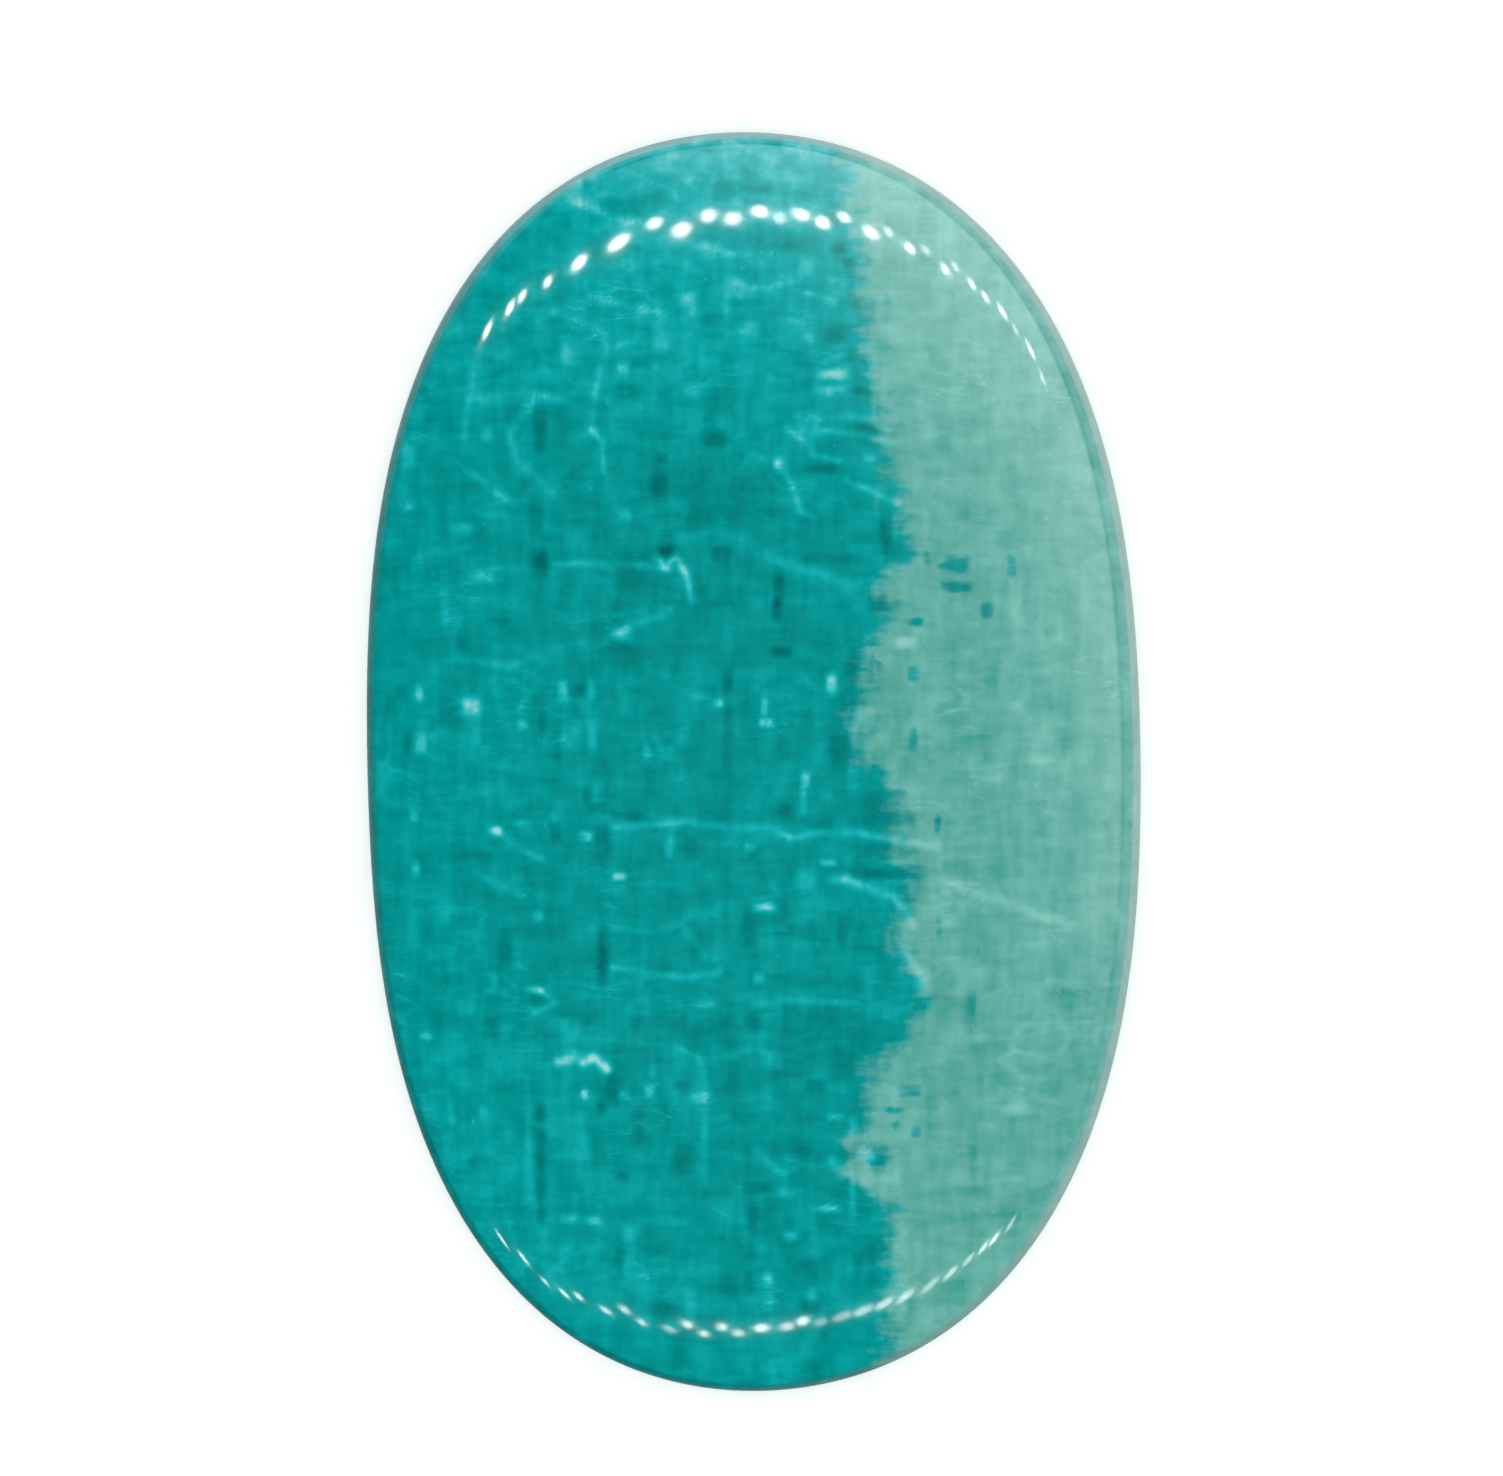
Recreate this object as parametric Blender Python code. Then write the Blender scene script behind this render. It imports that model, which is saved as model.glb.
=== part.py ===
"""Oval amazonite cabochon: one polished stone with a low dome and a flat back.

Metres, +Z up. The flat back lies on z = 0, the origin is the middle of the stone's width and
length there, and +Y runs along the long axis.
"""

from math import atan2, cos, hypot, pi, radians, sin

import bmesh
import bpy
from mathutils import Vector

MM = 0.001

# Driving dimensions of the outline, seen from above.
HALF_WIDTH = 11.06 * MM
HALF_LENGTH = 18.00 * MM
SQUARENESS = 0.377 * MM  # how much fuller than an ellipse the outline is at its four shoulders
LEAN = radians(0.97)  # the long axis leans this far to the left at its top end
LOBE_HEIGHT = 0.049 * MM  # three-lobed unevenness left by hand grinding
LOBE_TURN = radians(33)

# Driving dimensions of the section, from the back up.
BACK_BEVEL = 0.35 * MM
WALL_TOP = 2.00 * MM  # height at which the side wall turns into the dome
WALL_LEAN = 0.24 * MM  # how far the wall comes in from the back's bevel to that height
DOME_RISE = 3.00 * MM
DOME_POWER = 1.6  # 2 is an ellipse, and less makes the dome's flank straighter

# How finely the surface is cut into facets.
STEPS_ROUND = 120
WALL_RINGS = 3
DOME_RINGS = 22
RING_CROWDING = 0.8  # less than 1 draws the dome's rings closer together near its foot

STONE_COLOUR = (0.004, 0.300, 0.285, 1.0)
STONE_ROUGHNESS = 0.08
STONE_IOR = 1.53
SMOOTH_BELOW = radians(35)


def outline_point(turn):
    """A point on the outline, where turn is the ellipse's own angle."""
    x = (HALF_WIDTH + SQUARENESS) * cos(turn)
    y = (HALF_LENGTH + SQUARENESS) * sin(turn)
    push = LOBE_HEIGHT * cos(3 * turn - LOBE_TURN) - SQUARENESS * cos(4 * turn)
    grow = 1 + push / hypot(x, y)
    x, y = x * grow, y * grow
    return x * cos(LEAN) - y * sin(LEAN), x * sin(LEAN) + y * cos(LEAN)


def inset_point(turn, inset):
    """The outline's point at turn, moved inward at right angles to the outline."""
    small = 1e-4
    x, y = outline_point(turn)
    x_before, y_before = outline_point(turn - small)
    x_after, y_after = outline_point(turn + small)
    along = atan2(y_after - y_before, x_after - x_before)
    return x - inset * sin(along), y + inset * cos(along)


def dome_height(share):
    """Height at a share of the way from the dome's centre, 0, to its foot, 1."""
    return WALL_TOP + DOME_RISE * max(0.0, 1 - share**2) ** (1 / DOME_POWER)


def section():
    """The rings from the back up, each as (inset from the outline, share of its size, height)."""
    rings = [(BACK_BEVEL, 1.0, 0.0), (0.0, 1.0, BACK_BEVEL)]
    for step in range(1, WALL_RINGS + 1):
        up = step / WALL_RINGS
        rings.append((WALL_LEAN * up**2, 1.0, BACK_BEVEL + (WALL_TOP - BACK_BEVEL) * up))
    for step in range(1, DOME_RINGS):
        share = cos(step / DOME_RINGS * pi / 2) ** RING_CROWDING
        rings.append((WALL_LEAN, share, dome_height(share)))
    return rings


def ring_of_points(mesh, inset, share, height):
    """One closed ring of mesh points at the given height."""
    points = []
    for step in range(STEPS_ROUND):
        x, y = inset_point(2 * pi * step / STEPS_ROUND, inset)
        points.append(mesh.verts.new((x * share, y * share, height)))
    return points


def join_rings(mesh, lower, upper):
    """A band of triangles between two neighbouring rings."""
    for here in range(STEPS_ROUND):
        after = (here + 1) % STEPS_ROUND
        mesh.faces.new((lower[here], lower[after], upper[after]))
        mesh.faces.new((lower[here], upper[after], upper[here]))


def close_top(mesh, ring):
    """A fan of triangles from the last ring to the dome's highest point."""
    top = mesh.verts.new((0.0, 0.0, dome_height(0.0)))
    for here in range(STEPS_ROUND):
        mesh.faces.new((ring[here], ring[(here + 1) % STEPS_ROUND], top))


def centre_on_origin(mesh):
    """Move the stone so that the middle of its width and length is over the origin."""
    across = [point.co.x for point in mesh.verts]
    along = [point.co.y for point in mesh.verts]
    middle = Vector((min(across) + max(across), min(along) + max(along), 0.0)) / 2
    bmesh.ops.translate(mesh, verts=mesh.verts, vec=-middle)


def build_stone():
    """The whole stone as one closed mesh: flat back, bevel, wall and dome."""
    mesh = bmesh.new()
    rings = [ring_of_points(mesh, *ring) for ring in section()]
    mesh.faces.new(reversed(rings[0]))
    for lower, upper in zip(rings, rings[1:]):
        join_rings(mesh, lower, upper)
    close_top(mesh, rings[-1])
    centre_on_origin(mesh)
    data = bpy.data.meshes.new("amazonite_cabochon")
    mesh.to_mesh(data)
    mesh.free()
    return data


def stone_material():
    """Blue-green polished stone."""
    material = bpy.data.materials.new("polished_amazonite")
    material.use_nodes = True
    shader = material.node_tree.nodes["Principled BSDF"]
    shader.inputs["Base Color"].default_value = STONE_COLOUR
    shader.inputs["Roughness"].default_value = STONE_ROUGHNESS
    shader.inputs["Metallic"].default_value = 0.0
    shader.inputs["IOR"].default_value = STONE_IOR
    return material


def main():
    for leftover in list(bpy.data.objects):
        bpy.data.objects.remove(leftover)
    data = build_stone()
    data.materials.append(stone_material())
    data.shade_smooth()
    data.set_sharp_from_angle(angle=SMOOTH_BELOW)
    stone = bpy.data.objects.new("amazonite_cabochon", data)
    bpy.context.scene.collection.objects.link(stone)


main()
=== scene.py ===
from math import cos, pi, radians, sin

import bpy
import numpy as np
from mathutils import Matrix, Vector


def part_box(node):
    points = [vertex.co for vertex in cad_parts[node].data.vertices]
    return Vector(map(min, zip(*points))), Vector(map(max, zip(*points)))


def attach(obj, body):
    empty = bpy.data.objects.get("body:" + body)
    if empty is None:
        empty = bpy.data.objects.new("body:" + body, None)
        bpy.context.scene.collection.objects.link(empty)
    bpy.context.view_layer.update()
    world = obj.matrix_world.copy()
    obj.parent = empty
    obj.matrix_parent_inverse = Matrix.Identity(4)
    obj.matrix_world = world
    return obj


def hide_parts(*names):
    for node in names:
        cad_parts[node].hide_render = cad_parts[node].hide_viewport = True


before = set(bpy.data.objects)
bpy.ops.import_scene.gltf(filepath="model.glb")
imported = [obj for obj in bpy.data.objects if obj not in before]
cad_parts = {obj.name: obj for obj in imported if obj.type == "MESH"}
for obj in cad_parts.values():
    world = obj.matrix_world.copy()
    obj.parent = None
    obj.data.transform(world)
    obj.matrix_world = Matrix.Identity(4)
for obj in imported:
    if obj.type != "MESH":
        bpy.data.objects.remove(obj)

MM = 0.001
MICROMETRE = 0.000001
NODE = "amazonite_cabochon"
CAD_LOW, CAD_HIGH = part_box(NODE)
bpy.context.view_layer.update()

# The stone's outline and section, as in the CAD model.
HALF_WIDTH = 11.06 * MM
HALF_LENGTH = 18.00 * MM
SQUARENESS = 0.377 * MM  # how much fuller than an ellipse the outline is at its four shoulders
LEAN = radians(0.97)  # the long axis leans this far to the left at its top end
LOBE_HEIGHT = 0.049 * MM  # three-lobed unevenness left by hand grinding
LOBE_TURN = radians(33)
BACK_BEVEL = 0.35 * MM
WALL_TOP = 2.00 * MM  # height at which the side wall turns into the dome
WALL_LEAN = 0.24 * MM  # how far the wall comes in from the back's bevel to that height
DOME_RISE = 3.00 * MM
DOME_POWER = 1.6  # 2 is an ellipse, and less makes the dome's flank straighter

# How finely the visible surface is cut.
STEPS_ROUND = 576
OUTLINE_DETAIL = 20  # places measured along each step round
TURN_STEP = 0.0001  # to each side of a point, to find the outline's direction there, in radians
BACK_RINGS = 6
BEVEL_RINGS = 3
WALL_RINGS = 6
DOME_RINGS = 155
FOOT_CROWDING = 0.05  # the share of the way in over which the dome's rings lie closer together

# The photograph's frame, how long the stone is in it and where its middle lies.
FRAME_WIDTH_PX = 1503
FRAME_HEIGHT_PX = 1476
STONE_LENGTH_PX = 1258.2
STONE_MIDDLE_PX = (753.7, 761.6)
MM_PER_PX = (CAD_HIGH.y - CAD_LOW.y) / MM / STONE_LENGTH_PX


def outline(turn):
    """Points on the outline, where turn is the ellipse's own angle."""
    x = (HALF_WIDTH + SQUARENESS) * np.cos(turn)
    y = (HALF_LENGTH + SQUARENESS) * np.sin(turn)
    push = LOBE_HEIGHT * np.cos(3 * turn - LOBE_TURN) - SQUARENESS * np.cos(4 * turn)
    flat = np.stack([x, y], 1) * (1 + push / np.hypot(x, y))[:, None]
    lean = np.array([[cos(LEAN), sin(LEAN)], [-sin(LEAN), cos(LEAN)]])
    return flat @ lean


def even_outline():
    """The outline at equal steps of its length, with the inward direction at each point."""
    turn = np.linspace(0, 2 * pi, OUTLINE_DETAIL * STEPS_ROUND + 1)
    points = outline(turn)
    run = np.concatenate([[0], np.cumsum(np.hypot(*np.diff(points, axis=0).T))])
    even = np.interp(np.linspace(0, run[-1], STEPS_ROUND, endpoint=False), run, turn)
    along = outline(even + TURN_STEP) - outline(even - TURN_STEP)
    along /= np.hypot(along[:, 0], along[:, 1])[:, None]
    inward = np.stack([-along[:, 1], along[:, 0]], 1)
    return outline(even), inward


def height_on_dome(share):
    """Height at a share of the way from the dome's middle, 0, to its foot, 1."""
    return WALL_TOP + DOME_RISE * (1 - share**2) ** (1 / DOME_POWER)


def section():
    """The rings from the middle of the back to the top, each as (inset, share of its size, height)."""
    rings = [(BACK_BEVEL, step / BACK_RINGS, 0.0) for step in range(1, BACK_RINGS + 1)]
    for step in range(1, BEVEL_RINGS + 1):
        turn = step / BEVEL_RINGS * pi / 2
        rings.append((BACK_BEVEL * (1 - sin(turn)), 1.0, BACK_BEVEL * (1 - cos(turn))))
    for step in range(1, WALL_RINGS + 1):
        up = step / WALL_RINGS
        rings.append((WALL_LEAN * up**2, 1.0, BACK_BEVEL + (WALL_TOP - BACK_BEVEL) * up))
    for step in range(1, DOME_RINGS):
        inward = step / DOME_RINGS
        share = 1 - (1 + FOOT_CROWDING) * inward**2 / (inward + FOOT_CROWDING)
        rings.append((WALL_LEAN, share, height_on_dome(share)))
    return rings


def build_mesh():
    """The stone's fine surface, as points and faces."""
    edge, inward = even_outline()
    rings = section()
    layers = [np.column_stack([(edge + inset * inward) * share, np.full(STEPS_ROUND, height)])
              for inset, share, height in rings]
    points = np.concatenate(layers + [[[0, 0, 0]], [[0, 0, height_on_dome(0)]]])
    middle = (points.min(0) + points.max(0)) / 2
    points[:, :2] -= middle[:2]
    here = np.arange(STEPS_ROUND)
    after = (here + 1) % STEPS_ROUND
    faces = []
    for ring in range(len(rings) - 1):
        low, high = ring * STEPS_ROUND, (ring + 1) * STEPS_ROUND
        faces += np.column_stack([low + here, low + after, high + after, high + here]).tolist()
    last = (len(rings) - 1) * STEPS_ROUND
    bottom, top = len(points) - 2, len(points) - 1
    faces += np.column_stack([after, here, np.full(STEPS_ROUND, bottom)]).tolist()
    faces += np.column_stack([last + here, last + after, np.full(STEPS_ROUND, top)]).tolist()
    return points, faces


# The marks below are listed one by one. Their places and sizes are in millimetres.
# Where the teal stone turns pale: (y, x) from the top end to the bottom end.
PALE_EDGE = [
    (18.0, 2.1), (16.0, 2.4), (14.6, 2.7), (13.0, 3.0), (12.0, 3.1), (11.0, 3.3), (10.0, 3.4),
    (9.0, 3.7), (8.0, 3.9), (7.0, 4.1), (5.8, 4.4), (4.9, 3.6), (4.0, 3.8), (3.2, 3.2), (2.4, 3.1),
    (1.5, 3.0), (0.0, 3.1), (-0.8, 3.9), (-1.7, 4.0), (-2.5, 3.9), (-3.2, 4.6), (-4.0, 4.2),
    (-4.8, 3.9), (-5.7, 4.3), (-6.8, 4.8), (-7.7, 4.3), (-8.5, 3.3), (-9.4, 3.1), (-10.3, 2.9),
    (-11.0, 2.6), (-11.8, 2.5), (-12.6, 3.9), (-13.7, 3.6), (-15.4, 3.7), (-17.0, 3.4), (-18.0, 3.3),
]
# Teal cells inside the pale side: (x, y, half width, half height).
TEAL_CELLS = [
    (5.7, 5.6, 0.5, 0.3), (5.7, 4.95, 0.5, 0.15), (6.6, 4.3, 0.2, 0.25), (4.9, 5.8, 0.12, 0.3),
    (7.3, 5.5, 0.15, 0.35), (4.6, 3.95, 0.2, 0.12), (4.5, 2.5, 0.2, 0.25), (4.5, 0.7, 0.15, 0.35),
    (4.4, -9.3, 0.4, 0.2), (4.0, -9.85, 0.25, 0.15), (4.0, -10.3, 0.2, 0.12), (4.6, -10.5, 0.2, 0.2),
    (3.6, -11.2, 0.4, 0.35), (3.5, -12.5, 0.5, 0.3), (5.2, -1.8, 0.12, 0.3), (5.25, -4.6, 0.12, 0.3),
    (3.3, -16.2, 0.4, 0.4),
]
# Dark patches: (x, y, half width, half height, depth in grey levels).
DARK_PATCHES = [
    (-6.05, 9.4, 0.2, 0.55, 34), (-6.15, 6.95, 0.2, 0.5, 22), (-6.03, 5.6, 0.2, 0.4, 34),
    (-4.75, 8.75, 0.2, 0.35, 14), (-9.7, 5.6, 0.2, 0.2, 18), (-5.95, 10.6, 0.25, 0.15, 16),
    (-3.6, 15.75, 0.6, 0.25, 18), (-4.78, 16.6, 0.08, 0.4, 22), (-3.6, 10.5, 0.35, 0.2, 14),
    (-3.6, 5.3, 0.25, 0.5, 18), (-0.6, 16.35, 0.5, 0.15, 20), (0.2, 16.25, 0.3, 0.15, 20),
    (1.5, 16.1, 0.2, 0.15, 22), (-2.7, 16.05, 0.3, 0.2, 20), (2.4, 14.55, 0.2, 0.15, 30),
    (2.7, 14.15, 0.15, 0.15, 30), (0.6, 14.8, 1.6, 0.25, 13), (-0.2, 13.0, 0.4, 0.12, 20),
    (2.4, 12.2, 0.4, 0.3, 15), (2.9, 13.0, 0.15, 0.3, 16), (2.8, 11.5, 0.3, 0.3, 18),
    (3.0, 10.5, 0.35, 0.12, 26), (3.2, 9.45, 0.5, 0.12, 24), (2.1, 8.3, 0.6, 0.15, 22),
    (-1.1, 9.15, 0.35, 0.2, 30), (0.1, 9.2, 0.2, 0.15, 20), (-2.6, 8.6, 0.15, 0.15, 26),
    (-2.7, 7.85, 0.25, 0.3, 36), (3.75, 6.5, 0.15, 0.5, 27), (-0.6, 7.4, 1.5, 0.8, 7),
    (-2.5, 5.95, 0.35, 0.15, 36), (-0.9, 5.85, 0.25, 0.2, 24), (0.7, 4.9, 0.14, 0.5, 26),
    (0.65, 4.3, 0.14, 0.3, 34), (0.75, 3.1, 0.3, 0.15, 34), (-3.7, 3.2, 0.5, 0.15, 26),
    (-3.5, 2.8, 0.4, 0.4, 20), (-0.75, 2.3, 0.15, 0.3, 26), (-0.7, 0.5, 0.15, 1.6, 13),
    (0.8, 0.5, 0.2, 0.4, 14), (2.4, 0.4, 0.3, 0.6, 20), (2.75, 2.6, 0.18, 0.45, 24),
    (2.6, 1.6, 0.3, 0.4, 16), (2.3, 5.75, 0.8, 0.14, 20), (3.5, 4.5, 0.25, 0.3, 22),
    (0.9, -1.4, 0.2, 0.2, 22), (-3.5, -1.55, 0.4, 0.1, 20), (-2.9, -2.6, 0.5, 0.3, 16),
    (-1.8, -2.5, 0.15, 0.3, 18), (3.6, -2.5, 0.8, 0.2, 16), (3.6, -3.15, 0.8, 0.14, 32),
    (3.4, -1.4, 0.9, 0.4, 12), (-0.15, -4.7, 0.2, 0.7, 23), (2.5, -4.8, 0.15, 0.35, 22),
    (-10.0, 2.0, 0.15, 0.2, 20), (-9.8, 0.55, 0.1, 0.3, 22), (-8.2, 3.4, 0.2, 0.3, 18),
    (-7.2, 4.0, 0.3, 0.12, 20), (-8.6, 1.3, 0.3, 0.3, 12), (-5.95, 1.2, 0.12, 0.35, 20),
    (-4.9, 2.05, 0.15, 0.2, 24), (-5.6, -2.0, 0.15, 0.3, 27), (-4.7, -0.9, 0.15, 0.25, 22),
    (-4.4, -1.3, 0.25, 0.15, 26), (-4.3, -2.4, 0.2, 0.5, 24), (-7.9, -2.7, 0.6, 0.15, 13),
    (-7.05, -5.5, 0.2, 0.6, 30), (-4.25, -5.5, 0.15, 0.8, 28), (-9.3, -5.9, 0.3, 0.2, 12),
    (-6.0, -6.8, 0.3, 0.15, 18), (-3.3, -7.4, 0.25, 0.2, 14), (-7.4, -7.6, 0.25, 0.4, 13),
    (-6.05, -9.95, 0.14, 0.25, 32), (-6.02, -10.65, 0.15, 0.25, 30), (-6.05, -11.3, 0.14, 0.3, 34),
    (-6.05, -12.1, 0.14, 0.4, 30), (-6.02, -12.85, 0.14, 0.25, 30), (-8.0, -11.3, 0.15, 0.2, 22),
    (-4.3, -9.8, 0.12, 0.2, 26), (-4.0, -9.2, 0.15, 0.5, 21), (-3.3, -10.4, 0.2, 0.5, 21),
    (-4.4, -10.9, 0.2, 0.5, 16), (-3.7, -11.75, 0.15, 0.12, 30), (-3.8, -14.2, 0.12, 0.5, 25),
    (-1.0, -7.4, 0.3, 0.3, 14), (0.0, -7.4, 0.25, 0.25, 23), (1.9, -6.3, 1.0, 0.12, 12),
    (1.8, -7.7, 1.1, 0.6, 7), (2.5, -8.5, 0.35, 0.4, 17), (0.7, -8.85, 0.7, 0.12, 18),
    (1.8, -9.2, 0.3, 0.2, 20), (-2.0, -9.15, 0.2, 0.12, 26), (-0.4, -10.0, 0.25, 0.35, 18),
    (-1.9, -11.1, 0.3, 0.4, 14), (1.3, -11.0, 0.6, 0.35, 14), (0.1, -12.05, 0.35, 0.15, 32),
    (0.0, -13.0, 0.14, 0.35, 31), (-0.1, -13.9, 0.12, 0.25, 26), (-0.1, -14.75, 0.15, 0.35, 36),
    (-0.6, -14.7, 0.25, 0.5, 17), (1.5, -14.5, 0.5, 0.4, 12), (3.2, -14.2, 0.3, 0.7, 18),
    (1.6, -15.5, 0.25, 0.2, 26), (-2.5, -15.6, 0.35, 0.25, 26), (-2.2, -16.7, 0.3, 0.5, 16),
    (1.7, -17.3, 0.4, 0.3, 18), (5.9, -6.8, 0.5, 0.15, 15), (6.15, -7.1, 0.15, 0.6, 13),
    (9.0, -6.55, 0.6, 0.1, 16), (6.2, -11.0, 0.14, 0.7, 18), (7.5, -10.15, 0.5, 0.1, 15),
    (6.3, -12.2, 0.45, 0.15, 20), (6.75, 2.6, 0.15, 0.5, 16), (8.6, 1.7, 0.35, 0.4, 14),
    (8.8, 0.7, 0.3, 0.3, 16), (5.35, 9.0, 0.25, 0.25, 15), (6.1, 9.6, 0.5, 0.12, 13),
]
# Small light spots: (x, y, half width, half height, height in grey levels). The first is a painted glint,
# the flash of light off a cleavage plane inside the stone.
LIGHT_SPOTS = [
    (-8.0, 1.5, 0.25, 0.27, 42), (-9.5, 1.95, 0.12, 0.22, 34), (-9.45, 0.5, 0.15, 0.3, 32),
    (-9.65, -1.5, 0.12, 0.18, 24), (-9.6, -3.05, 0.12, 0.22, 26), (-7.3, -1.95, 0.2, 0.14, 40),
    (-6.6, -1.75, 0.2, 0.12, 22), (-6.55, 1.05, 0.15, 0.14, 28), (-5.4, 2.0, 0.14, 0.28, 24),
    (-4.6, 2.0, 0.12, 0.25, 22), (-5.15, 0.75, 0.25, 0.35, 23), (-4.55, 0.7, 0.12, 0.4, 16),
    (-4.75, -2.1, 0.2, 0.14, 36), (-6.1, -4.4, 0.15, 0.14, 22), (-3.8, -3.25, 0.2, 0.12, 36),
    (-8.75, 4.2, 0.12, 0.4, 16), (-7.7, 5.2, 0.3, 0.12, 18), (-3.7, 3.65, 0.25, 0.2, 22),
    (-5.25, 11.35, 0.3, 0.3, 17), (-3.7, 11.12, 0.16, 0.16, 33), (-7.2, 11.6, 0.5, 0.14, 14),
    (-8.5, 12.3, 0.25, 0.35, 12), (-3.8, 11.85, 0.4, 0.12, 17), (-7.55, 10.3, 0.5, 0.2, 12),
    (-7.55, 9.3, 0.15, 0.15, 16), (-9.85, 8.7, 0.18, 0.5, 15), (-9.75, 7.25, 0.15, 0.13, 18),
    (-8.2, 6.6, 0.35, 0.15, 18), (-9.6, 5.65, 0.15, 0.25, 24), (-5.0, 6.3, 0.35, 0.3, 15),
    (-3.65, 6.95, 0.18, 0.18, 27), (-5.1, 16.4, 0.2, 0.45, 17), (-1.85, 13.0, 0.2, 0.35, 20),
    (-0.15, 12.3, 0.3, 0.2, 17), (-2.65, 12.0, 0.2, 0.4, 14), (-2.8, 11.25, 0.15, 0.12, 22),
    (2.3, 10.95, 0.38, 0.15, 30), (2.3, 10.5, 0.5, 0.16, 24), (-1.7, 10.5, 0.25, 0.2, 20),
    (1.6, 9.5, 0.35, 0.35, 18), (3.3, 8.6, 0.25, 0.12, 22), (0.7, 8.45, 0.16, 0.13, 27),
    (1.6, 12.2, 0.3, 0.5, 10), (2.2, 2.2, 0.15, 0.3, 40), (4.3, 3.35, 0.3, 0.15, 36),
    (-1.0, 1.65, 0.16, 0.12, 33), (-1.5, 1.85, 0.25, 0.1, 24), (0.3, 1.6, 0.1, 0.35, 24),
    (0.35, 1.1, 0.2, 0.12, 40), (1.45, -0.5, 0.14, 0.22, 34), (1.4, -1.1, 0.1, 0.4, 24),
    (3.15, 1.3, 0.25, 0.25, 22), (-3.0, 0.25, 0.12, 0.2, 26), (4.6, -0.9, 0.35, 0.4, 17),
    (1.5, -3.3, 0.3, 0.4, 22), (2.1, -2.85, 0.22, 0.1, 27), (2.4, -3.3, 0.3, 0.15, 20),
    (0.3, -4.1, 0.3, 0.12, 42), (-0.1, -2.4, 0.16, 0.13, 26), (-2.4, -2.4, 0.12, 0.3, 21),
    (0.15, -6.1, 0.15, 0.13, 34), (-1.35, -6.85, 0.25, 0.12, 30), (-6.2, -6.45, 0.25, 0.1, 28),
    (-9.3, -7.8, 0.2, 0.12, 28), (-5.2, -7.6, 0.3, 0.3, 16), (-4.8, -9.4, 0.1, 0.16, 42),
    (-3.65, -9.4, 0.15, 0.1, 28), (-2.95, -9.3, 0.15, 0.17, 36), (-2.9, -8.8, 0.1, 0.15, 24),
    (-1.5, -9.5, 0.3, 0.25, 20), (-8.55, -10.0, 0.12, 0.3, 16), (-7.7, -9.95, 0.15, 0.25, 18),
    (-5.0, -10.6, 0.35, 0.6, 12), (-5.25, -12.95, 0.2, 0.12, 24), (-4.55, -13.0, 0.2, 0.12, 27),
    (-3.4, -13.4, 0.3, 0.2, 18), (2.3, -10.05, 0.22, 0.1, 26), (2.85, -10.3, 0.13, 0.3, 20),
    (3.2, -11.15, 0.25, 0.12, 30), (2.8, -12.4, 0.1, 0.5, 22), (2.1, -12.65, 0.36, 0.1, 33),
    (0.95, -12.2, 0.25, 0.15, 20), (1.05, -13.45, 0.15, 0.15, 33), (0.4, -14.6, 0.16, 0.16, 30),
    (0.45, -15.1, 0.14, 0.4, 16), (1.65, -15.2, 0.12, 0.25, 22), (-1.8, -15.3, 0.2, 0.4, 15),
    (4.15, -14.2, 0.2, 1.3, 17), (7.4, 4.1, 0.25, 0.5, 14), (7.4, 1.55, 0.2, 0.12, 17),
    (8.0, 0.05, 0.4, 0.15, 16), (9.1, 8.3, 0.5, 0.15, 11), (9.65, -4.2, 0.12, 1.3, 9),
    (4.8, -6.2, 0.2, 0.3, 19), (6.2, -7.8, 0.35, 0.12, 13), (7.3, -9.85, 0.35, 0.1, 15),
]
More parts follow.
